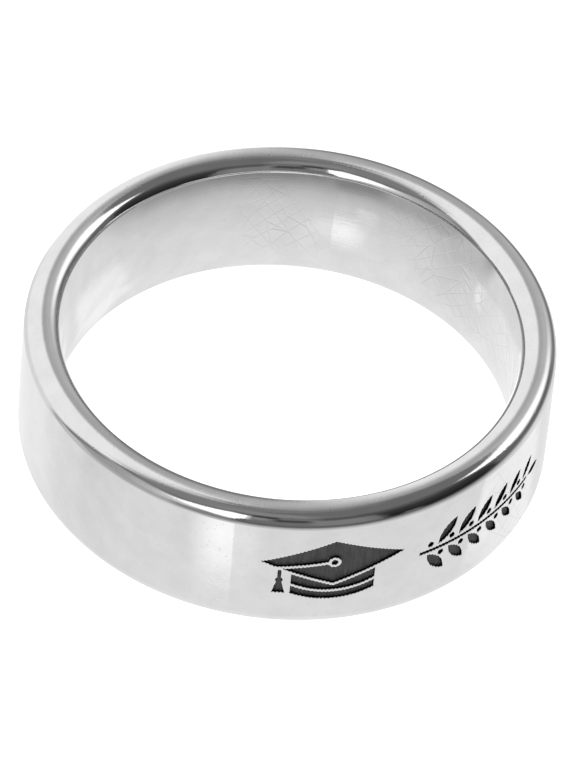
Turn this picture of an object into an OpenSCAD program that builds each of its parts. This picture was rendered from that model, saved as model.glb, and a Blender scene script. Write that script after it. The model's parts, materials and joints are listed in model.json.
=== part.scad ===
// Polished steel class ring: one flat-faced band with rounded rims, a domed
// comfort-fit inside, and a shallow blackened engraving on its outer face.
// It lies on its side: the finger hole runs along Z and the lower rim is at Z = 0.
// The middle of the engraving faces -Y. Lengths are millimetres.

/* [Band] */
// Diameter of the finger hole at its narrowest, in the middle of the band
finger_d = 17.7; // [14:0.1:23]
// Wall of the band, from the finger hole's narrowest part to the outer face
wall = 1.65; // [1.3:0.05:2.6]
// Width of the band along the finger
band_w = 6; // [5:0.1:10]

/* [Inside and rims] */
// Width of the straight stretch in the middle of the domed inside
land_w = 1.9; // [0.8:0.1:3]
// Radius of the dome on each side of the straight stretch
dome_r = 6.85; // [5:0.05:20]
// Radius of the rim where it turns into the outer face
outer_round = 0.6; // [0.2:0.05:0.8]
// Radius of the rim where it turns into the finger hole
inner_round = 0.7; // [0.2:0.05:0.8]

/* [Engraving] */
// Depth of the engraving below the outer face
mark_depth = 0.1; // [0.05:0.01:0.3]
// Bright line left between two engraved areas
bright_line = 0.13; // [0.08:0.01:0.2]
// Free face between the cap and the sprig
mark_gap = 0.75; // [0.3:0.05:2]

/* [Cap] */
// Width of the cap's board, from tip to tip
board_w = 5.6; // [4:0.1:7]
// Height of the cap's board
board_h = 2.3; // [1.6:0.1:2.8]
// Height of the board's middle above the middle of the band
board_rise = 0.6; // [0.3:0.05:0.9]
// Width of the cap under its board
skull_w = 3.3; // [2.4:0.1:4]
// Drop of the cap's lowest point below the middle of the band
skull_drop = 1.4; // [1.2:0.05:1.8]
// Rise of the cap's lower edge from its middle to its sides
skull_curve = 0.35; // [0.2:0.05:0.6]
// Width of the hem along the cap's lower edge
hem_w = 0.36; // [0.2:0.02:0.5]
// Distance of the hanging tassel from the board's middle
tassel_reach = 2.1; // [1.9:0.05:2.4]
// Length of the tassel's skirt
tassel_l = 0.7; // [0.4:0.05:0.9]
// Width of the tassel's skirt at its lower end
tassel_w = 0.5; // [0.3:0.05:0.7]
// Radius of the button in the middle of the board
button_r = 0.13; // [0.08:0.01:0.25]

/* [Sprig] */
// Length of the sprig along the outer face
sprig_l = 7.3; // [5:0.1:9]
// Width of the sprig's stem
stem_w = 0.14; // [0.1:0.01:0.3]
// Length of the stem's bare foot, before its first leaf
stem_foot = 0.2; // [0:0.05:0.6]
// Number of leaves on each side of the stem
leaf_pairs = 6; // [4:1:8]
// Length of the longest leaf
leaf_l = 1.35; // [0.9:0.05:1.6]
// Width of the longest leaf
leaf_w = 0.46; // [0.25:0.01:0.6]
// Angle between a leaf and the stem
leaf_lean = 52; // [35:1:65]
// Share of its length that the last leaf is shorter by
leaf_taper = 0.3; // [0:0.05:0.5]
// Radius of a berry
berry_r = 0.13; // [0.08:0.01:0.2]
// Distance of a berry along the stem, past the foot of the leaf across from it
berry_lead = 0.29; // [0.1:0.01:0.6]

/* [Hidden] */
$fn = 96;
finger_r = finger_d / 2;
outer_r = finger_r + wall;
mid_z = band_w / 2;
// A rim's rounding is limited by the wall that it rounds
rim_share = 0.45;
outer_rim = min(outer_round, rim_share * wall);
inner_rim = min(inner_round, rim_share * wall);
// The dome starts at the end of the straight stretch and runs into the rim
dome_start = land_w / 2;
dome_run = mid_z - inner_rim - dome_start;
dome_centre_r = finger_r + dome_r;
dome_lean = asin(dome_run / (dome_r - inner_rim));
inner_rim_r = dome_centre_r - (dome_r - inner_rim) * cos(dome_lean);
// Room by which a cutting shape passes the face that it cuts
past = 1;
// Cutting shapes for the engraving start well inside the band
mark_start_r = outer_r / 2;
mark_reach = outer_r + past - mark_start_r;
// The cap and the sprig lie side by side, with their middle at the front
mark_l = board_w + mark_gap + sprig_l;
cap_s = (board_w - mark_l) / 2;
sprig_s = mark_l / 2 - sprig_l;
skull_side = -skull_drop + skull_curve;
skull_r = (pow(skull_w / 2, 2) + pow(skull_curve, 2)) / (2 * skull_curve);
// Slope of the board's edges, and the line under them measured upright
board_slope = atan(board_h / board_w);
board_line = bright_line / cos(board_slope);
// Height of the board's lower edge above the tassel
tassel_top = board_rise - board_h / 2 * (1 - 2 * tassel_reach / board_w);
// The stem ends short of the last leaf, and every leaf's foot stands clear of the stem
stem_l = sprig_l - bright_line - leaf_l * (1 - leaf_taper);
leaf_pitch = (stem_l - stem_foot) / leaf_pairs;
leaf_foot = (stem_w / 2 + bright_line) / sin(leaf_lean);

// Turns a length along the outer face into an angle round the finger
function face_angle(s) = s / outer_r * 180 / PI;

// Size of leaf number i, counted from the foot of the stem, as a share of the longest
function leaf_size(i) = 1 - leaf_taper * i / leaf_pairs;

// Cuts the corner outside a round of radius r, between straight up and the direction turn
module corner_cut(r, turn) {
  reach = 4 * r;
  difference() {
    polygon([
      [0, 0],
      [0, reach],
      [reach * sign(cos(turn)), reach],
      [reach * cos(turn), reach * sin(turn)]
    ]);
    circle(r = r);
  }
}

// What the dome takes away between the straight stretch and the rim
module dome_cut() {
  translate([finger_r - past, dome_start]) difference() {
    square([past + wall / 2, mid_z]);
    translate([dome_r + past, 0]) circle(r = dome_r, $fn = 4 * $fn);
  }
}

// The upper half of the band's section: radius across, height above the middle up
module half_section() {
  difference() {
    translate([finger_r, 0]) square([wall, mid_z]);
    dome_cut();
    translate([inner_rim_r, mid_z - inner_rim]) corner_cut(inner_rim, 180 - dome_lean);
    translate([outer_r - outer_rim, mid_z - outer_rim]) corner_cut(outer_rim, 0);
  }
}

// The band before it is engraved
module blank() {
  translate([0, 0, mid_z]) rotate_extrude($fn = 2 * $fn) {
    half_section();
    mirror([0, 1]) half_section();
  }
}

// The flat board of the cap, round its own middle
module board() {
  polygon([[-board_w / 2, 0], [0, board_h / 2], [board_w / 2, 0], [0, -board_h / 2]]);
}

// The line of the tassel's cord where it lies on the board, left bright
module cord_line() {
  run = [-tassel_reach, tassel_top - board_rise];
  rotate(atan2(run[1], run[0]))
    translate([0, -bright_line / 2]) square([norm(run) + bright_line, bright_line]);
}

// The cap's board, with the button and the cord left bright
module engraved_board() {
  translate([0, board_rise]) {
    difference() {
      board();
      circle(r = button_r + bright_line);
      cord_line();
    }
    circle(r = button_r);
  }
}

// The cap under its board, above a bright line along its hem
module engraved_skull() {
  difference() {
    intersection() {
      translate([-skull_w / 2, -skull_drop]) square([skull_w, skull_drop + board_rise]);
      translate([0, skull_r - skull_drop]) circle(r = skull_r);
    }
    translate([0, board_rise - board_line]) board();
    translate([0, skull_r - skull_drop]) difference() {
      circle(r = skull_r - hem_w);
      circle(r = skull_r - hem_w - bright_line);
      translate([-skull_w, 0]) square([2 * skull_w, skull_r + past]);
    }
  }
}

// The hanging cord, its knot and the tassel's skirt
module engraved_tassel() {
  skirt_top = skull_side + tassel_l;
  translate([-tassel_reach - stem_w / 2, skirt_top]) square([stem_w, tassel_top - bright_line - skirt_top]);
  translate([-tassel_reach, skirt_top]) circle(r = stem_w);
  translate([-tassel_reach, skull_side]) polygon([
    [-tassel_w / 2, 0],
    [tassel_w / 2, 0],
    [stem_w / 2, tassel_l],
    [-stem_w / 2, tassel_l]
  ]);
}

// A leaf pointing along X from its foot at the origin, of length l and width w
module leaf(l, w) {
  r = (l * l + w * w) / (4 * w);
  translate([l / 2, 0]) intersection() {
    translate([0, w / 2 - r]) circle(r = r);
    translate([0, r - w / 2]) circle(r = r);
  }
}

// Stands a flat mark on the outer face, s along it from the front
module on_face(s) {
  rotate([0, 0, face_angle(s)])
    translate([0, -mark_start_r, mid_z])
      rotate([90, 0, 0])
        linear_extrude(height = mark_reach) children();
}

// The stem follows the face round the finger
module stem() {
  rotate([0, 0, face_angle(sprig_s) - 90])
    rotate_extrude(angle = face_angle(stem_l))
      translate([mark_start_r, mid_z - stem_w / 2]) square([mark_reach, stem_w]);
}

// The leaves stand in turn above and below the stem, with a berry across from each
module leaves() {
  for (i = [0 : leaf_pairs - 1], side = [-1, 1]) {
    size = leaf_size(i);
    on_face(sprig_s + stem_foot + leaf_pitch * (i + (side + 1) / 4)) {
      rotate(side * leaf_lean) translate([leaf_foot, 0]) leaf(leaf_l * size, leaf_w * size);
      translate([berry_lead, -side * (stem_w / 2 + bright_line + berry_r)]) circle(r = berry_r);
    }
  }
  last = 1 - leaf_taper;
  on_face(sprig_s + stem_l + bright_line) leaf(leaf_l * last, leaf_w * last);
}

// All the engraved shapes, kept to the layer that they are cut from
module engraving() {
  intersection() {
    union() {
      on_face(cap_s) {
        engraved_board();
        engraved_skull();
        engraved_tassel();
      }
      stem();
      leaves();
    }
    difference() {
      cylinder(r = outer_r + past / 2, h = band_w);
      translate([0, 0, -past]) cylinder(r = outer_r - mark_depth, h = band_w + 2 * past);
    }
  }
}

module band() {
  color("silver") difference() {
    blank();
    engraving();
  }
}

band();
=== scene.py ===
"""A polished steel class ring that lies on its side on a pale floor.

The ring is one piece: the band with its rounded rims and domed inside, and the shallow
blackened engraving in its outer face. The middle of the engraving faces -Y.
"""

import collections
import json
import math
import random

import bpy
import numpy as np
from mathutils import Matrix, Vector
from mathutils.geometry import delaunay_2d_cdt


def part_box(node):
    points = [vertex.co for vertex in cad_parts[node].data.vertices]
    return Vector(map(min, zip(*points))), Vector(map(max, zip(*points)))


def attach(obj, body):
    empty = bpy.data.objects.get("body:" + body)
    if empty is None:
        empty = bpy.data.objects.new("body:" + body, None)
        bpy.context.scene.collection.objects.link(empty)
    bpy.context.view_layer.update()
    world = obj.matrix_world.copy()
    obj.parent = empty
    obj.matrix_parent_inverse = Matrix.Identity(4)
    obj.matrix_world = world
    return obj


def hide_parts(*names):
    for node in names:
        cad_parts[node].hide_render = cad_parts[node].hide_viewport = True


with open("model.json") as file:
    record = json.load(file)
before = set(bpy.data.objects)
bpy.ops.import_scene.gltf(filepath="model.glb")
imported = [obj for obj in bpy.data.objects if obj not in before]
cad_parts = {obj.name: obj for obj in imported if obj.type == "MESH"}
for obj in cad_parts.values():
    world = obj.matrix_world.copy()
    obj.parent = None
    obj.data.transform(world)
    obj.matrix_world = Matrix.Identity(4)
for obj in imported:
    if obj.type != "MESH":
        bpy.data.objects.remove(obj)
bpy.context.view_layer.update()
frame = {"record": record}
random.seed(11)

# Sizes of the band, in millimetres as in the part's source
MM = 0.001
BAND_LOW, BAND_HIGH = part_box("band")
OUTER_R = round((BAND_HIGH.x - BAND_LOW.x) / 2 / MM, 2)
BAND_W = round((BAND_HIGH.z - BAND_LOW.z) / MM, 2)
FINGER_R = frame["record"]["mounts"][0]["dims"]["r_mm"]
MID = BAND_W / 2
LAND_W = 1.9
DOME_R = 6.85
OUTER_RIM = 0.6
INNER_RIM = 0.6
# The rims' crest is domed between these directions, 90 being straight up
CREST_FROM = 78
CREST_TO = 104
# The polished outer face lies a hair inside its full radius, and a little lower at its edges
FACE_SET = 0.006
FACE_BOW = 0.013
FACE_END = MID - OUTER_RIM
# The polished inside leans a little more towards both ends of its straight stretch
INSIDE_LEAN = math.radians(2.4)

# Sizes of the engraving, in millimetres
MARK_DEPTH = 0.1
BRIGHT_LINE = 0.13
MARK_GAP = 0.75
BOARD_W = 5.6
BOARD_H = 2.3
BOARD_RISE = 0.6
SKULL_W = 3.3
SKULL_DROP = 1.4
SKULL_CURVE = 0.35
HEM_W = 0.36
TASSEL_REACH = 2.1
TASSEL_L = 0.7
TASSEL_W = 0.5
BUTTON_R = 0.13
SPRIG_L = 7.3
STEM_W = 0.14
STEM_FOOT = 0.2
LEAF_PAIRS = 6
LEAF_L = 1.35
LEAF_W = 0.46
LEAF_LEAN = math.radians(52)
LEAF_TAPER = 0.3
BERRY_R = 0.13
BERRY_LEAD = 0.29
MARK_L = BOARD_W + MARK_GAP + SPRIG_L
CAP_S = (BOARD_W - MARK_L) / 2
SPRIG_S = MARK_L / 2 - SPRIG_L

# The laser works in short upright strokes, which leave a comb along the marks' edges
STROKE = 0.15
COMB = 0.06
LIP = 0.04
LIP_RISE = 0.004
LIP_LEAN = math.radians(13)
OUTLINE_STEP = 0.022

# Fineness of the mesh
COLUMNS = 360
RIM_STEPS = 22
CREST_STEPS = 18
DOME_STEPS = 10
MIDDLE_STEPS = 5
FACE_ROWS = 8
WINDOW_COLUMNS = 40
GRID_COLUMNS = 2
GRID_ROW = 0.12
# Grid points nearer to an outline than this are left out
GRID_CLEAR = 0.6 * LIP

# Numbers of the two materials
STEEL = 0
BLACK = 1


# The band's section: rows of (radius, height above the middle, normal along the radius, normal up)

def arc(centre, radius, start, end, steps):
    """Rows along a round of the section, from start to end in degrees."""
    angles = np.radians(np.linspace(start, end, steps + 1))
    across, up = np.cos(angles), np.sin(angles)
    return np.stack([centre[0] + radius * across, centre[1] + radius * up, across, up], axis=1)


def face_row(z):
    """The row of the outer face at height z, with its slight bow."""
    share = z / FACE_END
    slope = 2 * FACE_BOW * share / FACE_END
    size = math.hypot(1, slope)
    radius = OUTER_R - FACE_SET - FACE_BOW * share ** 2
    return radius, z, 1 / size, slope / size


def inside_row(z, end, rise):
    """The row of the inside's middle stretch at height z."""
    slope = 2 * rise * z / end ** 2
    size = math.hypot(1, slope)
    return FINGER_R + rise * (z / end) ** 2, z, -1 / size, slope / size


def upper_rim():
    """Rows from the top of the outer face over the rim and down to the middle of the inside."""
    edge = face_row(FACE_END)
    lean = math.degrees(math.atan2(edge[3], edge[2]))
    centre = (edge[0] - OUTER_RIM * edge[2], FACE_END - OUTER_RIM * edge[3])
    outer = arc(centre, OUTER_RIM, lean, CREST_FROM, RIM_STEPS)
    inside_end = LAND_W / 2 + DOME_R * math.sin(INSIDE_LEAN)
    inside_rise = inside_end * math.tan(INSIDE_LEAN) / 2
    dome_r = FINGER_R + inside_rise + DOME_R * math.cos(INSIDE_LEAN)
    run = MID - INNER_RIM - LAND_W / 2
    lean = math.asin(run / (DOME_R - INNER_RIM))
    rim_r = dome_r - (DOME_R - INNER_RIM) * math.cos(lean)
    inner_end = 180 - math.degrees(lean)
    inner = arc((rim_r, MID - INNER_RIM), INNER_RIM, CREST_TO, inner_end, RIM_STEPS)
    start = math.cos(math.radians(CREST_FROM))
    crest_r = (outer[-1, 0] - inner[0, 0]) / (start - math.cos(math.radians(CREST_TO)))
    centre = (outer[-1, 0] - crest_r * start, MID - crest_r)
    crest = arc(centre, crest_r, CREST_FROM, CREST_TO, CREST_STEPS)
    outer[:, 1] += (crest[0, 1] - outer[-1, 1]) * np.linspace(0, 1, len(outer))
    inner[:, 1] += (crest[-1, 1] - inner[0, 1]) * np.linspace(1, 0, len(inner))
    dome_end = 180 - math.degrees(INSIDE_LEAN)
    dome = arc((dome_r, LAND_W / 2), DOME_R, inner_end, dome_end, DOME_STEPS)
    heights = np.linspace(inside_end, 0, MIDDLE_STEPS + 1)[1:]
    middle = [inside_row(z, inside_end, inside_rise) for z in heights]
    return np.concatenate([outer, crest[1:-1], inner, dome[1:], middle])


def rim_rows():
    """Rows from the top of the outer face, round the inside, to the bottom of the outer face."""
    upper = upper_rim()
    lower = upper[-2::-1] * [1, -1, 1, -1]
    return np.concatenate([upper, lower])


class Skin:
    """The faces of one piece, with a normal, a texture place and a material for each corner."""

    def __init__(self):
        self.known = {}
        self.points = []
        self.faces = []
        self.normals = []
        self.places = []
        self.slots = []

    def point(self, at):
        """The number of the point at this place, in millimetres; equal places share one point."""
        key = tuple(round(c, 5) for c in at)
        if key not in self.known:
            self.known[key] = len(self.points)
            self.points.append([c * MM for c in at])
        return self.known[key]

    def face(self, corners, slot):
        """Adds a face with corners (place, normal, texture place)."""
        numbers = [self.point(place) for place, _, _ in corners]
        if len(set(numbers)) < len(numbers):
            return
        self.faces.append(numbers)
        self.normals.extend(normal for _, normal, _ in corners)
        self.places.extend(place for _, _, place in corners)
        self.slots.append(slot)

    def build(self, name):
        """Makes the object, with its exact normals."""
        mesh = bpy.data.meshes.new(name)
        mesh.from_pydata(self.points, [], self.faces)
        mesh.polygons.foreach_set("material_index", self.slots)
        mesh.shade_smooth()
        layer = mesh.uv_layers.new(name="UVMap")
        layer.data.foreach_set("uv", np.array(self.places, np.float32).ravel())
        mesh.normals_split_custom_set(self.normals)
        mesh.update()
        piece = bpy.data.objects.new(name, mesh)
        bpy.context.scene.collection.objects.link(piece)
        return piece


def corner(angle, row, along):
    """A corner at an angle in radians from -Y towards +X, on a row of the section."""
    radius, z, across, up = row
    turn = (math.sin(angle), -math.cos(angle))
    place = (radius * turn[0], radius * turn[1], z + MID)
    normal = (across * turn[0], across * turn[1], up)
    return place, normal, (angle * OUTER_R, along)


def lengths(rows):
    """How far each row lies along the section."""
    steps = np.hypot(np.diff(rows[:, 0]), np.diff(rows[:, 1]))
    return np.concatenate([[0], np.cumsum(steps)])


def sweep(skin, rows, columns, start=0.0):
    """Turns the rows round the finger hole, over the given range of columns."""
    along = lengths(rows) + start
    angles = [2 * math.pi * c / COLUMNS for c in columns]
    for left, right in zip(angles[:-1], angles[1:]):
        for k in range(len(rows) - 1):
            low, high = k, k + 1
            skin.face([
                corner(left, rows[low], along[low]),
                corner(right, rows[low], along[low]),
                corner(right, rows[high], along[high]),
                corner(left, rows[high], along[high]),
            ], STEEL)


# The marks' outlines, unrolled: along the outer face and up from the middle of the band

def circle(x, y, r):
    """A circle's outline."""
    steps = max(16, round(2 * math.pi * r / OUTLINE_STEP))
    angles = np.linspace(0, 2 * math.pi, steps, endpoint=False)
    return np.stack([x + r * np.cos(angles), y + r * np.sin(angles)], axis=1)


def bar(start, end, width):
    """A straight bar's outline."""
    start, end = np.array(start, float), np.array(end, float)
    ahead = (end - start) / np.linalg.norm(end - start)
    side = np.array([-ahead[1], ahead[0]]) * width / 2
    return np.array([start - side, end - side, end + side, start + side])


def board_outline(drop=0.0):
    """The cap's board."""
    y = BOARD_RISE - drop
    half_w, half_h = BOARD_W / 2, BOARD_H / 2
    return np.array([[-half_w, y], [0, y - half_h], [half_w, y], [0, y + half_h]])


def curve_down(radius, centre_y, reach):
    """Points along the lower side of a circle, from -reach to reach."""
    x = np.linspace(-reach, reach, round(2 * reach / OUTLINE_STEP))
    return np.stack([x, centre_y - np.sqrt(radius ** 2 - x ** 2)], axis=1)


def cap_groups():
    """The cap's engraved areas, each with what is left bright in it."""
    tassel_top = BOARD_RISE - BOARD_H / 2 * (1 - 2 * TASSEL_REACH / BOARD_W)
    run = np.array([-TASSEL_REACH, tassel_top - BOARD_RISE])
    middle = np.array([0, BOARD_RISE])
    cord_end = middle + run * (1 + BRIGHT_LINE / np.linalg.norm(run))
    board_line = BRIGHT_LINE / math.cos(math.atan(BOARD_H / BOARD_W))
    radius = ((SKULL_W / 2) ** 2 + SKULL_CURVE ** 2) / (2 * SKULL_CURVE)
    centre_y = radius - SKULL_DROP
    top = [[SKULL_W / 2, BOARD_RISE], [-SKULL_W / 2, BOARD_RISE]]
    skull = np.concatenate([curve_down(radius, centre_y, SKULL_W / 2), top])
    hem_outer = curve_down(radius - HEM_W, centre_y, SKULL_W / 2 + LIP)
    hem_inner = curve_down(radius - HEM_W - BRIGHT_LINE, centre_y, SKULL_W / 2 + LIP)
    hem = np.concatenate([hem_outer, hem_inner[::-1]])
    side = SKULL_CURVE - SKULL_DROP
    knot_y = side + TASSEL_L
    skirt = np.array([
        [-TASSEL_W / 2, 0],
        [TASSEL_W / 2, 0],
        [STEM_W / 2, TASSEL_L],
        [-STEM_W / 2, TASSEL_L],
    ]) + [-TASSEL_REACH, side]
    cord = bar([-TASSEL_REACH, knot_y], [-TASSEL_REACH, tassel_top - BRIGHT_LINE], STEM_W)
    button_gap = circle(0, BOARD_RISE, BUTTON_R + BRIGHT_LINE)
    return [
        ([board_outline()], [button_gap, bar(middle, cord_end, BRIGHT_LINE)]),
        ([circle(0, BOARD_RISE, BUTTON_R)], []),
        ([skull], [board_outline(board_line), hem]),
        ([cord, circle(-TASSEL_REACH, knot_y, STEM_W), skirt], []),
    ]


def leaf_outline(length, width):
    """A leaf that points along x from its foot at the origin."""
    radius = (length ** 2 + width ** 2) / (4 * width)
    x = np.linspace(0, length, round(length / OUTLINE_STEP))
    y = width / 2 - radius + np.sqrt(radius ** 2 - (x - length / 2) ** 2)
    y[0] = y[-1] = 0
    lower = np.stack([x, -y], axis=1)
    upper = np.stack([x, y], axis=1)[-2:0:-1]
    return np.concatenate([lower, upper])


def turned(points, angle, ahead):
    """The points moved ahead along x, then turned about the origin."""
    x, y = points[:, 0] + ahead, points[:, 1]
    c, s = math.cos(angle), math.sin(angle)
    return np.stack([x * c - y * s, x * s + y * c], axis=1)


def on_face(points, s):
    """Flat points stood on the round outer face, s along it from the front."""
    along = s + OUTER_R * np.arcsin(points[:, 0] / OUTER_R)
    return np.stack([along, points[:, 1]], axis=1)


def sprig_groups():
    """The sprig's stem, leaves and berries."""
    stem_l = SPRIG_L - BRIGHT_LINE - LEAF_L * (1 - LEAF_TAPER)
    pitch = (stem_l - STEM_FOOT) / LEAF_PAIRS
    foot = (STEM_W / 2 + BRIGHT_LINE) / math.sin(LEAF_LEAN)
    berry_y = STEM_W / 2 + BRIGHT_LINE + BERRY_R
    shapes = [bar([SPRIG_S, 0], [SPRIG_S + stem_l, 0], STEM_W)]
    for i in range(LEAF_PAIRS):
        size = 1 - LEAF_TAPER * i / LEAF_PAIRS
        for side in (-1, 1):
            s = SPRIG_S + STEM_FOOT + pitch * (i + (side + 1) / 4)
            leaf = leaf_outline(LEAF_L * size, LEAF_W * size)
            shapes.append(on_face(turned(leaf, side * LEAF_LEAN, foot), s))
            shapes.append(on_face(circle(BERRY_LEAD, -side * berry_y, BERRY_R), s))
    last = 1 - LEAF_TAPER
    tip = leaf_outline(LEAF_L * last, LEAF_W * last)
    shapes.append(on_face(tip, SPRIG_S + stem_l + BRIGHT_LINE))
    return [([shape], []) for shape in shapes]


def mark_groups():
    """All engraved areas along the face, as (shapes, shapes left bright in them)."""
    groups = []
    for shapes, gaps in cap_groups():
        placed = [on_face(dense(shape), CAP_S) for shape in shapes]
        bright = [on_face(dense(gap), CAP_S) for gap in gaps]
        groups.append((placed, bright))
    for shapes, gaps in sprig_groups():
        groups.append(([dense(shape) for shape in shapes], gaps))
    return groups


def dense(points):
    """A closed outline with a point about every OUTLINE_STEP."""
    out = []
    for a, b in zip(points, np.roll(points, -1, axis=0)):
        steps = max(1, round(np.linalg.norm(b - a) / OUTLINE_STEP))
        out.extend(a + (b - a) * i / steps for i in range(steps))
    return np.array(out)


def grown(points, distance):
    """A closed outline, running anticlockwise, moved out by distance."""
    ahead = np.roll(points, -1, axis=0) - np.roll(points, 1, axis=0)
    ahead /= np.linalg.norm(ahead, axis=1)[:, None] + 1e-9
    return points + distance * np.stack([ahead[:, 1], -ahead[:, 0]], axis=1)


def anticlockwise(points):
    """The outline in anticlockwise order."""
    x, y = points[:, 0], points[:, 1]
    area = np.sum(x * np.roll(y, -1) - y * np.roll(x, -1))
    return points if area > 0 else points[::-1]


# How far each stroke's end reaches, as a share of the comb's depth
STROKES = [random.uniform(0.35, 1) for _ in range(400)]


def combed(points):
    """The outline with the strokes' uneven ends along it."""
    out = points.copy()
    for row in out:
        stroke = row[0] / STROKE
        number = math.floor(stroke)
        share = abs(2 * (stroke - number) - 1)
        row[1] += COMB * STROKES[number % len(STROKES)] * (share - 0.5)
    return out


def inside(points, outline):
    """Which of the points lie inside the closed outline."""
    found = np.zeros(len(points), bool)
    low, high = outline.min(0), outline.max(0)
    near = np.all((points >= low) & (points <= high), axis=1)
    x, y = points[near, 0][:, None], points[near, 1][:, None]
    x0, y0 = outline[:, 0], outline[:, 1]
    x1, y1 = np.roll(x0, -1), np.roll(y0, -1)
    across = (y0 > y) != (y1 > y)
    rise = np.where(y1 == y0, 1, y1 - y0)
    crossing = across & (x < (x1 - x0) * (y - y0) / rise + x0)
    found[near] = crossing.sum(axis=1) % 2 == 1
    return found


def engraved(points, groups):
    """Which of the points lie in an engraved area."""
    found = np.zeros(len(points), bool)
    for shapes, gaps in groups:
        here = np.zeros(len(points), bool)
        for shape in shapes:
            here |= inside(points, shape)
        for gap in gaps:
            here &= ~inside(points, gap)
        found |= here
    return found


# The stretch of the outer face that holds the engraving

def window_edge(face_z):
    """The outline of that stretch, with a point at each column and row of its neighbours."""
    reach = WINDOW_COLUMNS
    pitch = 2 * math.pi * OUTER_R / COLUMNS
    columns = [c * pitch for c in range(-reach, reach + 1)]
    bottom = [(s, face_z[0]) for s in columns]
    right = [(columns[-1], z) for z in face_z[1:-1]]
    top = [(s, face_z[-1]) for s in reversed(columns)]
    left = [(columns[0], z) for z in reversed(face_z[1:-1])]
    return np.array(bottom + right + top + left)


def window_grid(outlines):
    """Evenly spaced points on that stretch, clear of the outlines."""
    pitch = 2 * math.pi * OUTER_R / COLUMNS / GRID_COLUMNS
    count = WINDOW_COLUMNS * GRID_COLUMNS
    s = np.arange(-count + 1, count) * pitch
    rows = int(FACE_END / GRID_ROW)
    z = np.arange(-rows + 1, rows) * GRID_ROW
    grid = np.stack(np.meshgrid(s, z), axis=-1).reshape(-1, 2)
    lines = np.concatenate(outlines)
    clear = np.ones(len(grid), bool)
    for i, at in enumerate(grid):
        clear[i] = np.min(np.abs(lines - at).max(axis=1)) > GRID_CLEAR
    return grid[clear]


def triangles(edge, outlines, grid):
    """Triangles that keep to the outlines: their points, and three numbers for each."""
    points, links = [], []
    for line in [edge] + outlines:
        first = len(points)
        count = len(line)
        points.extend(Vector(p) for p in line)
        links.extend((first + i, first + (i + 1) % count) for i in range(count))
    points.extend(Vector(p) for p in grid)
    made = delaunay_2d_cdt(points, links, [], 0, 1e-5)
    places = np.array([(v.x, v.y) for v in made[0]])
    faces = np.array([f for f in made[2] if len(f) == 3])
    a, b, c = (places[faces[:, i]] for i in range(3))
    area = (b[:, 0] - a[:, 0]) * (c[:, 1] - a[:, 1]) - (c[:, 0] - a[:, 0]) * (b[:, 1] - a[:, 1])
    faces[area < 0] = faces[area < 0][:, ::-1]
    return places, faces[np.abs(area) > 1e-12]


def wall_edges(faces, dark):
    """Edges between an engraved and a free triangle, in the engraved triangle's order."""
    owner = {}
    for number, face in enumerate(faces):
        for i in range(3):
            owner[(face[i], face[(i + 1) % 3])] = number
    walls = []
    for (a, b), number in owner.items():
        other = owner.get((b, a))
        if dark[number] and other is not None and not dark[other]:
            walls.append((a, b))
    return walls


def lips(places, walls):
    """For each point on a wall's edge: the direction away from the engraved area, and a rise."""
    away = collections.defaultdict(lambda: np.zeros(2))
    for a, b in walls:
        run = places[b] - places[a]
        out = np.array([run[1], -run[0]])
        away[a] += out
        away[b] += out
    found = {}
    for number in sorted(away):
        out = away[number]
        size = np.linalg.norm(out)
        rise = random.uniform(0.3, 1)
        found[number] = (out / size if size > 1e-9 else out, rise)
    return found


def flat_direction(angle, run):
    """A direction that lies in the outer face, given along the face and up."""
    return Vector((math.cos(angle) * run[0], math.sin(angle) * run[0], run[1]))


def face_corner(place, lip=None):
    """A corner of the free outer face, lifted and tilted where it is the lip of a mark."""
    s, z = place
    radius, z, across, up = face_row(z)
    angle = s / OUTER_R
    if lip is None:
        return corner(angle, (radius, z, across, up), z)
    out, rise = lip
    lean = LIP_LEAN * rise
    place, _, uv = corner(angle, (radius + LIP_RISE * rise, z, across, up), z)
    radial = Vector((math.sin(angle), -math.cos(angle), 0))
    tilted = radial * math.cos(lean) + flat_direction(angle, out) * math.sin(lean)
    return place, tuple(tilted.normalized()), uv


def floor_corner(place):
    """A corner of a mark's floor."""
    s, z = place
    return corner(s / OUTER_R, (OUTER_R - MARK_DEPTH, z, 1, 0), z)


def add_wall(skin, places, found, a, b):
    """The upright side of a mark, under one edge of its outline."""
    run = places[b] - places[a]
    angle = (places[a][0] + places[b][0]) / 2 / OUTER_R
    run = run / (np.linalg.norm(run) + 1e-12)
    normal = tuple(flat_direction(angle, (-run[1], run[0])))
    corners = [
        face_corner(places[b], found[b]),
        face_corner(places[a], found[a]),
        floor_corner(places[a]),
        floor_corner(places[b]),
    ]
    corners = [(place, normal, uv) for place, _, uv in corners]
    skin.face(corners, BLACK)


def add_window(skin, face_z):
    """The engraved stretch of the outer face."""
    groups = mark_groups()
    outlines, placed = [], []
    for shapes, gaps in groups:
        shapes = [anticlockwise(shape) for shape in shapes]
        gaps = [anticlockwise(gap) for gap in gaps]
        outlines.extend(combed(grown(shape, LIP)) for shape in shapes)
        outlines.extend(combed(grown(gap, -LIP)) for gap in gaps)
        placed.append(([combed(shape) for shape in shapes], [combed(gap) for gap in gaps]))
    for shapes, gaps in placed:
        outlines.extend(shapes + gaps)
    places, faces = triangles(window_edge(face_z), outlines, window_grid(outlines))
    dark = engraved(places[faces].mean(axis=1), placed)
    walls = wall_edges(faces, dark)
    found = lips(places, walls)
    for face, is_dark in zip(faces, dark):
        if is_dark:
            skin.face([floor_corner(places[i]) for i in face], BLACK)
        else:
            skin.face([face_corner(places[i], found.get(i)) for i in face], STEEL)
    for a, b in walls:
        add_wall(skin, places, found, a, b)


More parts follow.
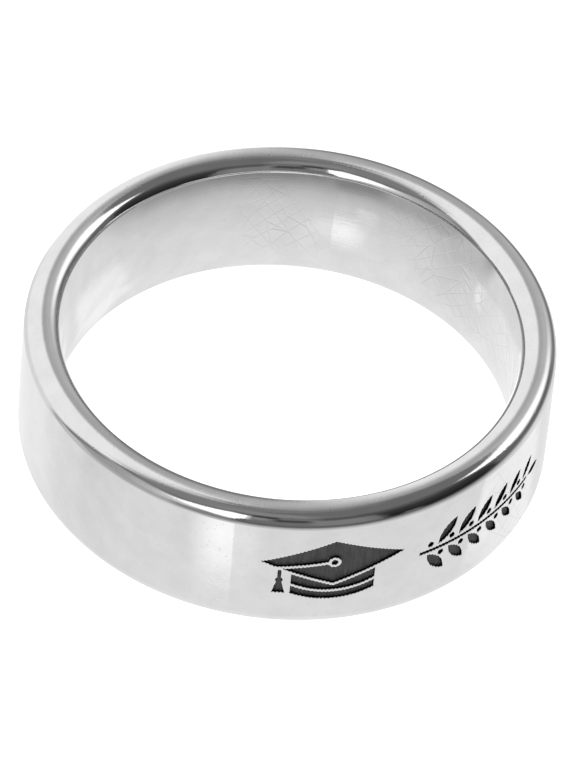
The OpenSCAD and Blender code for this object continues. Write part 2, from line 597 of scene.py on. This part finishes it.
def make_band():
    """The whole ring."""
    skin = Skin()
    rows = rim_rows()
    sweep(skin, rows, range(COLUMNS + 1), start=FACE_END)
    face_z = np.linspace(-FACE_END, FACE_END, FACE_ROWS + 1)
    face = np.array([face_row(z) for z in face_z])
    sweep(skin, face, range(WINDOW_COLUMNS, COLUMNS - WINDOW_COLUMNS + 1), start=-FACE_END)
    add_window(skin, list(face_z))
    return skin.build("steel_band")


# Materials. Noise is in lumps per metre, and the heights of bumps are in metres.

BRUSH_LINES = 1000
BRUSH_STRETCH = (0.35, 0.35, 22)
CLOUDS = 900
WORN_PATCHES = 230
SPECKS = 5200
WAVES = 2600
RAGGED = 8300
WAVE_HEIGHT = 0.0000009
RAGGED_HEIGHT = 0.0000009
FLAW_HEIGHT = 0.0000014
MIRROR_ROUGHNESS = (0.02, 0.055)
BRUSHED_ROUGHNESS = (0.03, 0.075)
SCRATCH_ROUGHNESS = 0.03
STEEL_DARK = (0.75, 0.75, 0.755)
STEEL_LIGHT = (0.82, 0.82, 0.825)
SPECK_SHADE = 0.35
SCRATCH_SHADE = 1.2
# The inside is brushed up to the first radius and mirror-polished from the second
BRUSHED_TO = 8.95 * MM
MIRROR_FROM = 9.15 * MM
# The rims' finish comes in between these heights from the middle of the band
RIM_FROM = (FACE_END - 0.1) * MM
RIM_TO = (FACE_END + 0.2) * MM
# Crossing scratches: their turn in degrees, and their length and gap in millimetres
SCRATCHES = [(38, 3.4, 0.6), (-52, 2.8, 0.55)]
SCRATCH_WIDTH = 0.026
# How much deeper a scratch is than the other flaws
SCRATCH_DEPTH = 3.0
# There are none up to the first place along X, and this share of the most from the second
UNWORN_TO = 2.4 * MM
WORN_FROM = 4.4 * MM
WORN_SHARE = 0.9

RECESS_STROKES = 1000
RECESS_STRETCH = (14, 14, 1.2)
RECESS_GRAIN = 16000
RECESS_DARK = (0.032, 0.032, 0.033)
RECESS_LIGHT = (0.085, 0.085, 0.085)
RECESS_ROUGHNESS = (0.45, 0.7)
RECESS_HEIGHT = 0.000012
RECESS_METAL = 0.25


def feed(tree, socket, value):
    """Links value to the socket, or sets it."""
    if isinstance(value, bpy.types.NodeSocket):
        tree.links.new(value, socket)
    else:
        socket.default_value = value


def sum_of(tree, operation, *values):
    """One Math node."""
    node = tree.nodes.new("ShaderNodeMath")
    node.operation = operation
    for socket, value in zip(node.inputs, values):
        feed(tree, socket, value)
    return node.outputs[0]


def ranged(tree, value, low, high, to_low=0.0, to_high=1.0, smooth=True):
    """value turned from low..high into to_low..to_high, without leaving it."""
    node = tree.nodes.new("ShaderNodeMapRange")
    node.interpolation_type = "SMOOTHSTEP" if smooth else "LINEAR"
    names = ("Value", "From Min", "From Max", "To Min", "To Max")
    for name, given in zip(names, (value, low, high, to_low, to_high)):
        feed(tree, node.inputs[name], given)
    return node.outputs["Result"]


def noise(tree, place, per_metre, detail=2.0, roughness=0.5, stretch=(1, 1, 1)):
    """Noise with the given number of lumps per metre."""
    mapping = tree.nodes.new("ShaderNodeMapping")
    mapping.inputs["Scale"].default_value = [per_metre * s for s in stretch]
    tree.links.new(place, mapping.inputs["Vector"])
    node = tree.nodes.new("ShaderNodeTexNoise")
    node.inputs["Scale"].default_value = 1.0
    node.inputs["Detail"].default_value = detail
    node.inputs["Roughness"].default_value = roughness
    tree.links.new(mapping.outputs["Vector"], node.inputs["Vector"])
    return node.outputs["Fac"]


def mixed_value(tree, share, first, second):
    """first where share is 0, second where it is 1."""
    node = tree.nodes.new("ShaderNodeMix")
    node.data_type = "FLOAT"
    feed(tree, node.inputs["Factor"], share)
    feed(tree, node.inputs["A"], first)
    feed(tree, node.inputs["B"], second)
    return node.outputs["Result"]


def bumped(tree, height, depth, before=None):
    """A normal bumped by height, depth metres deep."""
    node = tree.nodes.new("ShaderNodeBump")
    node.inputs["Strength"].default_value = 1.0
    node.inputs["Distance"].default_value = depth
    tree.links.new(height, node.inputs["Height"])
    if before is not None:
        tree.links.new(before, node.inputs["Normal"])
    return node.outputs["Normal"]


def scratches(tree, turn, length, gap):
    """Fine straight scratches on the unrolled surface, in millimetres: 1 on a line, 0 off it."""
    mapping = tree.nodes.new("ShaderNodeMapping")
    mapping.vector_type = "TEXTURE"
    mapping.inputs["Rotation"].default_value = (0, 0, math.radians(turn))
    mapping.inputs["Scale"].default_value = (length, gap, 1)
    unrolled = tree.nodes.new("ShaderNodeTexCoord").outputs["UV"]
    tree.links.new(unrolled, mapping.inputs["Vector"])
    cells = tree.nodes.new("ShaderNodeTexVoronoi")
    cells.voronoi_dimensions = "2D"
    cells.feature = "DISTANCE_TO_EDGE"
    cells.inputs["Scale"].default_value = 1.0
    tree.links.new(mapping.outputs["Vector"], cells.inputs["Vector"])
    return ranged(tree, cells.outputs["Distance"], 0.0, SCRATCH_WIDTH / gap, 1.0, 0.0)


def new_material(name):
    """A material with its node tree, its shader and the object's own coordinates."""
    material = bpy.data.materials.new(name)
    material.use_nodes = True
    tree = material.node_tree
    shader = tree.nodes["Principled BSDF"]
    place = tree.nodes.new("ShaderNodeTexCoord").outputs["Object"]
    return material, tree, shader, place


def grey_between(tree, share, dark, light):
    """A grey between two tones."""
    node = tree.nodes.new("ShaderNodeMix")
    node.data_type = "RGBA"
    colour_a, colour_b = (s for s in node.inputs if s.type == "RGBA")
    colour_a.default_value = (*dark, 1)
    colour_b.default_value = (*light, 1)
    tree.links.new(share, node.inputs["Factor"])
    return next(s for s in node.outputs if s.type == "RGBA")


def steel_zones(tree, place):
    """The place along X, 1 on the brushed inside, and 1 on the rims."""
    split = tree.nodes.new("ShaderNodeSeparateXYZ")
    tree.links.new(place, split.inputs["Vector"])
    x, y, z = split.outputs
    across = sum_of(tree, "ADD", sum_of(tree, "MULTIPLY", x, x), sum_of(tree, "MULTIPLY", y, y))
    radius = sum_of(tree, "SQRT", across)
    satin = ranged(tree, radius, BRUSHED_TO, MIRROR_FROM, 1.0, 0.0)
    from_middle = sum_of(tree, "ABSOLUTE", sum_of(tree, "SUBTRACT", z, MID * MM))
    rim = ranged(tree, from_middle, RIM_FROM, RIM_TO)
    return x, satin, rim


def worn_scratches(tree, place, x, rim):
    """1 on the scratches in a few worn patches of the outer face."""
    worn = ranged(tree, noise(tree, place, WORN_PATCHES, 1.0, 0.4), 0.4, 0.6)
    worn = sum_of(tree, "MULTIPLY", worn, sum_of(tree, "SUBTRACT", 1.0, rim))
    worn = sum_of(tree, "MULTIPLY", worn, ranged(tree, x, UNWORN_TO, WORN_FROM, 0.0, WORN_SHARE))
    crossing = sum_of(tree, "MAXIMUM", *(scratches(tree, *lines) for lines in SCRATCHES))
    return sum_of(tree, "MULTIPLY", crossing, worn)


def polished_steel():
    """Mirror polish outside, and a finer circular brushing on the inside."""
    material, tree, shader, place = new_material("polished_steel")
    x, satin, rim = steel_zones(tree, place)
    lines = noise(tree, place, BRUSH_LINES, 3.0, 0.6, BRUSH_STRETCH)
    cloud = noise(tree, place, CLOUDS, 3.0, 0.6)
    scratched = worn_scratches(tree, place, x, rim)
    specks = ranged(tree, noise(tree, place, SPECKS, 0.0), 0.71, 0.8)

    haze = ranged(tree, cloud, 0.3, 0.8, *MIRROR_ROUGHNESS)
    haze = sum_of(tree, "MULTIPLY_ADD", scratched, SCRATCH_ROUGHNESS, haze)
    brushed = ranged(tree, lines, 0.25, 0.75, *BRUSHED_ROUGHNESS)
    feed(tree, shader.inputs["Roughness"], mixed_value(tree, satin, haze, brushed))

    flaws = sum_of(tree, "MULTIPLY", specks, SPECK_SHADE)
    flaws = sum_of(tree, "MULTIPLY_ADD", scratched, SCRATCH_SHADE, flaws)
    bright = sum_of(tree, "SUBTRACT", ranged(tree, cloud, 0.2, 0.8), flaws)
    feed(tree, shader.inputs["Base Color"], grey_between(tree, bright, STEEL_DARK, STEEL_LIGHT))
    shader.inputs["Metallic"].default_value = 1.0

    waves = bumped(tree, noise(tree, place, WAVES, 1.0, 0.4), WAVE_HEIGHT)
    ragged = sum_of(tree, "MULTIPLY", noise(tree, place, RAGGED, 1.0, 0.5), rim)
    uneven = bumped(tree, ragged, RAGGED_HEIGHT, waves)
    fine = sum_of(tree, "MULTIPLY", lines, satin)
    pits = sum_of(tree, "MULTIPLY", specks, sum_of(tree, "SUBTRACT", 0.6, satin))
    deep = sum_of(tree, "MULTIPLY", scratched, SCRATCH_DEPTH)
    marks = sum_of(tree, "SUBTRACT", fine, sum_of(tree, "MAXIMUM", deep, pits))
    feed(tree, shader.inputs["Normal"], bumped(tree, marks, FLAW_HEIGHT, uneven))
    return material


def blackened_recess():
    """The darkened floor of the engraving, with its strokes and a few bright grains."""
    material, tree, shader, place = new_material("blackened_recess")
    strokes = noise(tree, place, RECESS_STROKES, 2.0, 0.6, RECESS_STRETCH)
    grain = noise(tree, place, RECESS_GRAIN, 2.0, 0.7)
    mixed = sum_of(tree, "MULTIPLY", strokes, grain)
    tone = grey_between(tree, ranged(tree, mixed, 0.12, 0.5), RECESS_DARK, RECESS_LIGHT)
    feed(tree, shader.inputs["Base Color"], tone)
    shader.inputs["Metallic"].default_value = RECESS_METAL
    feed(tree, shader.inputs["Roughness"], ranged(tree, grain, 0.3, 0.7, *RECESS_ROUGHNESS))
    feed(tree, shader.inputs["Normal"], bumped(tree, mixed, RECESS_HEIGHT))
    return material


# The studio: soft cards round the ring. Azimuth 0 is where the camera stands, positive to its
# right, and elevation 0 the horizon. A card's tone is what the steel shows of it, from 0 to 255.

CAMERA_AZIMUTH = -36.0
CAMERA_ELEVATION = 45.4
STEEL_TONE = 0.8
# Cards that reach past this azimuth run round the back of the studio
WRAP_PAST = 160
Card = collections.namedtuple(
    "Card", "tone left right low high blur_sides blur_low blur_high lean", defaults=((0, 0, 0, 0),)
)
GROUND = [
    (-90, 224), (-60, 222), (-50, 219), (-44, 212), (-40, 197), (-32, 186), (-27, 168), (-22, 148),
    (-16, 128), (-10, 104),
]
STUDIO = [
    # the ceiling, and a lighter strip of it
    Card(104, -181, 180, -10, 100, (1, 1), 8, 1),
    Card(128, -46, 24, 53, 80, (16, 22), 10, 16),
    # the bright floor behind, and the floor to its left and right
    Card(266, 166, 214, -40, 4, (18, 10), 14, 14, (0.3, 0.15, 0, 0)),
    Card(212, -152, -97, -40, 6, (6, 8), 6, 4, (0, 0.45, 0, 0)),
    Card(226, -190, -116, -60, -40, (1, 30), 10, 6),
    Card(186, -94, -74, -42, -8, (8, 16), 16, 14),
    Card(162, -76, -36, -26, 4, (12, 12), 14, 12),
    Card(214, 96, 166, -44, -14, (44, 10), 6, 26, (0, 0, 0, -0.08)),
    # the wall left of the front window, and the long panel behind on the left
    Card(150, -92, -46, -10, 37, (10, 20), 8, 10),
    Card(110, -72, -34, 37, 62, (6, 14), 8, 12),
    Card(192, -51, -28, -3, 29, (30, 10), 16, 12),
    Card(150, 171, 200, 48, 72, (14, 10), 8, 16),
    Card(162, 156, 200, 10, 52, (10, 10), 24, 8),
    Card(230, -176.2, -75.5, -5, 73, (13, 8), 16, 20, (0, 0.35, 0, 0)),
    # the dark low down behind, and the panel's slanting upper end
    Card(118, 158, 180.5, -4, 20, (10, 6), 6, 24),
    Card(121, -96, -30, 44, 97, (42, 10), 14, 8, (-1.15, 0, 0, 0)),
    Card(118, -200, -163, 64, 97, (1, 20), 12, 8),
    Card(119, -82.5, -75.5, -12, 24, (3, 4), 10, 12, (0.5, 0.5, 0, 0)),
    # the front window with its slanting edges, and the dark below it
    Card(290, -39, -9.5, 7.5, 39, (22, 6), 19, 15, (0, 0, -0.7, 0.8)),
    Card(130, -36, -14, -24, -3, (12, 6), 10, 8),
    Card(96, -14, -8, -11, 15, (3, 3), 6, 8, (0.2, 0.2, 0, 0)),
    # in front: bars of light and dark across the room
    Card(107, -9, 44, -16, 57, (5, 5), 18, 6),
    Card(94, -12, 46, -15, -1, (4, 10), 8, 6),
    Card(120, 15, 36, 1, 36, (6, 8), 8, 16),
    Card(84, 20, 46, 36, 54, (8, 6), 8, 10),
    Card(104, -18, -2, 42, 58, (5, 4), 6, 8, (-0.4, 0, 0, 0)),
    Card(66, -9, 3, 40, 53, (4, 4), 6, 6),
    Card(128, -8, -2, 22, 39, (3, 4), 8, 6),
    Card(70, 1, 15, 22, 39, (3, 5), 8, 6),
    # the dark card to the right
    Card(80, 41, 88, -9, 54, (4, 10), 10, 18),
    Card(52, 42, 93, -5, 40, (6, 8), 10, 22, (0, -0.05, 0, 0)),
    Card(40, 44, 84, -3, 18, (3, 8), 8, 16),
    Card(96, 49, 56, -12, 4, (3, 4), 6, 8),
    # the back window, and what lies under and beside it
    Card(174, 128, 167, 4, 53.5, (14, 12), 30, 6, (0, 0, 0, 0.1)),
    Card(98, 90, 134, -2, 18, (5, 18), 8, 8),
    Card(116, 128, 164, -14, 4, (14, 10), 14, 14),
    Card(290, 98.5, 141, 23, 51.5, (8, 34), 26, 7, (-0.35, 0, -0.12, 0.05)),
    # the windows' faint mirror images in the floor
    Card(226, -17, -6, -47, -42.5, (1, 14), 2, 2),
    Card(250, -30, -16, -47, -42.5, (16, 1), 3, 2),
    Card(238, 104, 150, -54, -47, (12, 30), 4, 2),
    Card(234, 100, 146, -47, -44, (3, 12), 1, 1, (4, 0, 0, 0)),
    # glints from small things beside the ring
    Card(224, -38, -27, -40.5, -38.8, (6, 4), 1.6, 1.6, (0, 0, 0.1, 0.1)),
    Card(246, -111, -104, -44, -42, (4, 3), 2, 2),
]


def seen(tone):
    """The light that the steel shows at this tone."""
    return (tone / 255) ** 2.2 / STEEL_TONE


def elevation_ramp(tree, elevation, stops):
    """A tone that changes with elevation from stop to stop."""
    value = seen(stops[0][1])
    for (low, _), (high, tone) in zip(stops[:-1], stops[1:]):
        value = mixed_value(tree, ranged(tree, elevation, low, high, smooth=False), value, seen(tone))
    return value


def leaning(tree, edge, lean, along):
    """The place of a card's edge that shifts by lean for each degree along it."""
    if not lean:
        return edge
    return sum_of(tree, "MULTIPLY_ADD", along, lean, edge)


def soft_edge(tree, value, edge, blur, sign):
    """0 before a card's edge and 1 past it, or the other way round where sign is negative."""
    before, after = (0.0, 1.0) if sign > 0 else (1.0, 0.0)
    if isinstance(edge, (int, float)):
        return ranged(tree, value, edge - blur / 2, edge + blur / 2, before, after)
    past = sum_of(tree, "SUBTRACT", value, edge)
    return ranged(tree, past, -blur / 2, blur / 2, before, after)


def card_mask(tree, card, azimuth, elevation):
    """1 on the card, 0 off it, with its blurred edges between."""
    middle = (card.left + card.right) / 2
    around = azimuth
    if max(abs(card.left), abs(card.right)) > WRAP_PAST:
        around = sum_of(tree, "WRAP", azimuth, middle + 180, middle - 180)
    aside = sum_of(tree, "SUBTRACT", around, middle)
    above = sum_of(tree, "SUBTRACT", elevation, (card.low + card.high) / 2)
    edges = (
        (around, leaning(tree, card.left, card.lean[0], above), card.blur_sides[0], 1),
        (around, leaning(tree, card.right, card.lean[1], above), card.blur_sides[1], -1),
        (elevation, leaning(tree, card.low, card.lean[2], aside), card.blur_low, 1),
        (elevation, leaning(tree, card.high, card.lean[3], aside), card.blur_high, -1),
    )
    mask = None
    for value, edge, blur, sign in edges:
        share = soft_edge(tree, value, edge, blur, sign)
        mask = share if mask is None else sum_of(tree, "MULTIPLY", mask, share)
    return mask


def make_studio():
    """The light round the ring, and a plain pale ground for the camera."""
    world = bpy.data.worlds.new("studio")
    bpy.context.scene.world = world
    world.use_nodes = True
    tree = world.node_tree
    split = tree.nodes.new("ShaderNodeSeparateXYZ")
    tree.links.new(tree.nodes.new("ShaderNodeTexCoord").outputs["Generated"], split.inputs[0])
    x, y, z = split.outputs
    turn = sum_of(tree, "ARCTAN2", x, sum_of(tree, "MULTIPLY", y, -1.0))
    azimuth = sum_of(tree, "ADD", sum_of(tree, "DEGREES", turn), -CAMERA_AZIMUTH)
    azimuth = sum_of(tree, "WRAP", azimuth, 180, -180)
    elevation = sum_of(tree, "DEGREES", sum_of(tree, "ARCSINE", z))
    tone = elevation_ramp(tree, elevation, GROUND)
    for card in STUDIO:
        mask = card_mask(tree, card, azimuth, elevation)
        tone = mixed_value(tree, mask, tone, seen(card.tone))
    background = tree.nodes["Background"]
    tree.links.new(tone, background.inputs["Strength"])
    background.inputs["Color"].default_value = (1, 1, 1, 1)
    plain = tree.nodes.new("ShaderNodeBackground")
    plain.inputs["Color"].default_value = (1, 1, 1, 1)
    either = tree.nodes.new("ShaderNodeMixShader")
    camera_ray = tree.nodes.new("ShaderNodeLightPath").outputs["Is Camera Ray"]
    tree.links.new(camera_ray, either.inputs["Fac"])
    tree.links.new(background.outputs[0], either.inputs[1])
    tree.links.new(plain.outputs[0], either.inputs[2])
    tree.links.new(either.outputs[0], tree.nodes["World Output"].inputs["Surface"])


# The floor is a lit white table, so the ring's shadow on it is faint. Lengths are metres.
FLOOR_HALF = 1.5
FLOOR_GRAIN = 60
FLOOR_DARK = (0.90, 0.90, 0.90)
FLOOR_LIGHT = (0.93, 0.93, 0.93)
FLOOR_GLOW = 0.86
LAMP_SIZE = 0.9
LAMP_HEIGHT = 0.6
LAMP_WATTS = 3.0


def make_floor():
    """A pale floor."""
    mesh = bpy.data.meshes.new("floor")
    half = FLOOR_HALF
    corners = [(-half, -half, 0), (half, -half, 0), (half, half, 0), (-half, half, 0)]
    mesh.from_pydata(corners, [], [(0, 1, 2, 3)])
    floor = bpy.data.objects.new("floor", mesh)
    bpy.context.scene.collection.objects.link(floor)
    material, tree, shader, place = new_material("pale_floor")
    tone = grey_between(tree, noise(tree, place, FLOOR_GRAIN, 3.0, 0.6), FLOOR_DARK, FLOOR_LIGHT)
    feed(tree, shader.inputs["Base Color"], tone)
    shader.inputs["Roughness"].default_value = 0.8
    shader.inputs["Specular IOR Level"].default_value = 0.2
    shader.inputs["Emission Color"].default_value = (1, 1, 1, 1)
    shader.inputs["Emission Strength"].default_value = FLOOR_GLOW
    mesh.materials.append(material)
    floor.visible_glossy = False


def make_lamp():
    """One large soft light above the ring."""
    lamp = bpy.data.lights.new("soft_light", "AREA")
    lamp.shape = "DISK"
    lamp.size = LAMP_SIZE
    lamp.energy = LAMP_WATTS
    light = bpy.data.objects.new("soft_light", lamp)
    light.location = (0, 0, LAMP_HEIGHT)
    light.visible_glossy = False
    bpy.context.scene.collection.objects.link(light)


# The camera, fitted to the ring's outlines in a frame of 576 by 768

FRAME_W, FRAME_H = 576, 768
FOCAL_PIXELS = 8500.0
CAMERA_DISTANCE = 334.95
CAMERA_ROLL = 5.56
RING_AT = (286.4, 379.4)


def make_camera():
    """A long lens from above the front left of the engraving."""
    azimuth, elevation = math.radians(CAMERA_AZIMUTH), math.radians(CAMERA_ELEVATION)
    back = Vector((
        math.sin(azimuth) * math.cos(elevation),
        -math.cos(azimuth) * math.cos(elevation),
        math.sin(elevation),
    ))
    level = Vector((math.cos(azimuth), math.sin(azimuth), 0))
    roll = Matrix.Rotation(math.radians(CAMERA_ROLL), 3, back)
    right = roll @ level
    up = roll @ back.cross(level)
    aside = (RING_AT[0] - FRAME_W / 2) / FOCAL_PIXELS
    above = (RING_AT[1] - FRAME_H / 2) / FOCAL_PIXELS
    ahead = (-back - aside * right + above * up).normalized()
    right = (right - right.dot(ahead) * ahead).normalized()
    up = right.cross(ahead)
    data = bpy.data.cameras.new("camera")
    data.sensor_fit = "AUTO"
    data.sensor_width = 36.0
    data.lens = FOCAL_PIXELS * data.sensor_width / FRAME_H
    camera = bpy.data.objects.new("camera", data)
    turn = Matrix((right, up, -ahead)).transposed()
    centre = Vector((0, 0, MID * MM))
    camera.matrix_world = Matrix.Translation(centre + back * CAMERA_DISTANCE * MM) @ turn.to_4x4()
    bpy.context.scene.collection.objects.link(camera)
    bpy.context.scene.camera = camera


band = make_band()
band.data.materials.append(polished_steel())
band.data.materials.append(blackened_recess())
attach(band, "root")
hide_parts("band")
make_floor()
make_lamp()
make_studio()
make_camera()
bpy.context.scene.view_settings.view_transform = "Standard"
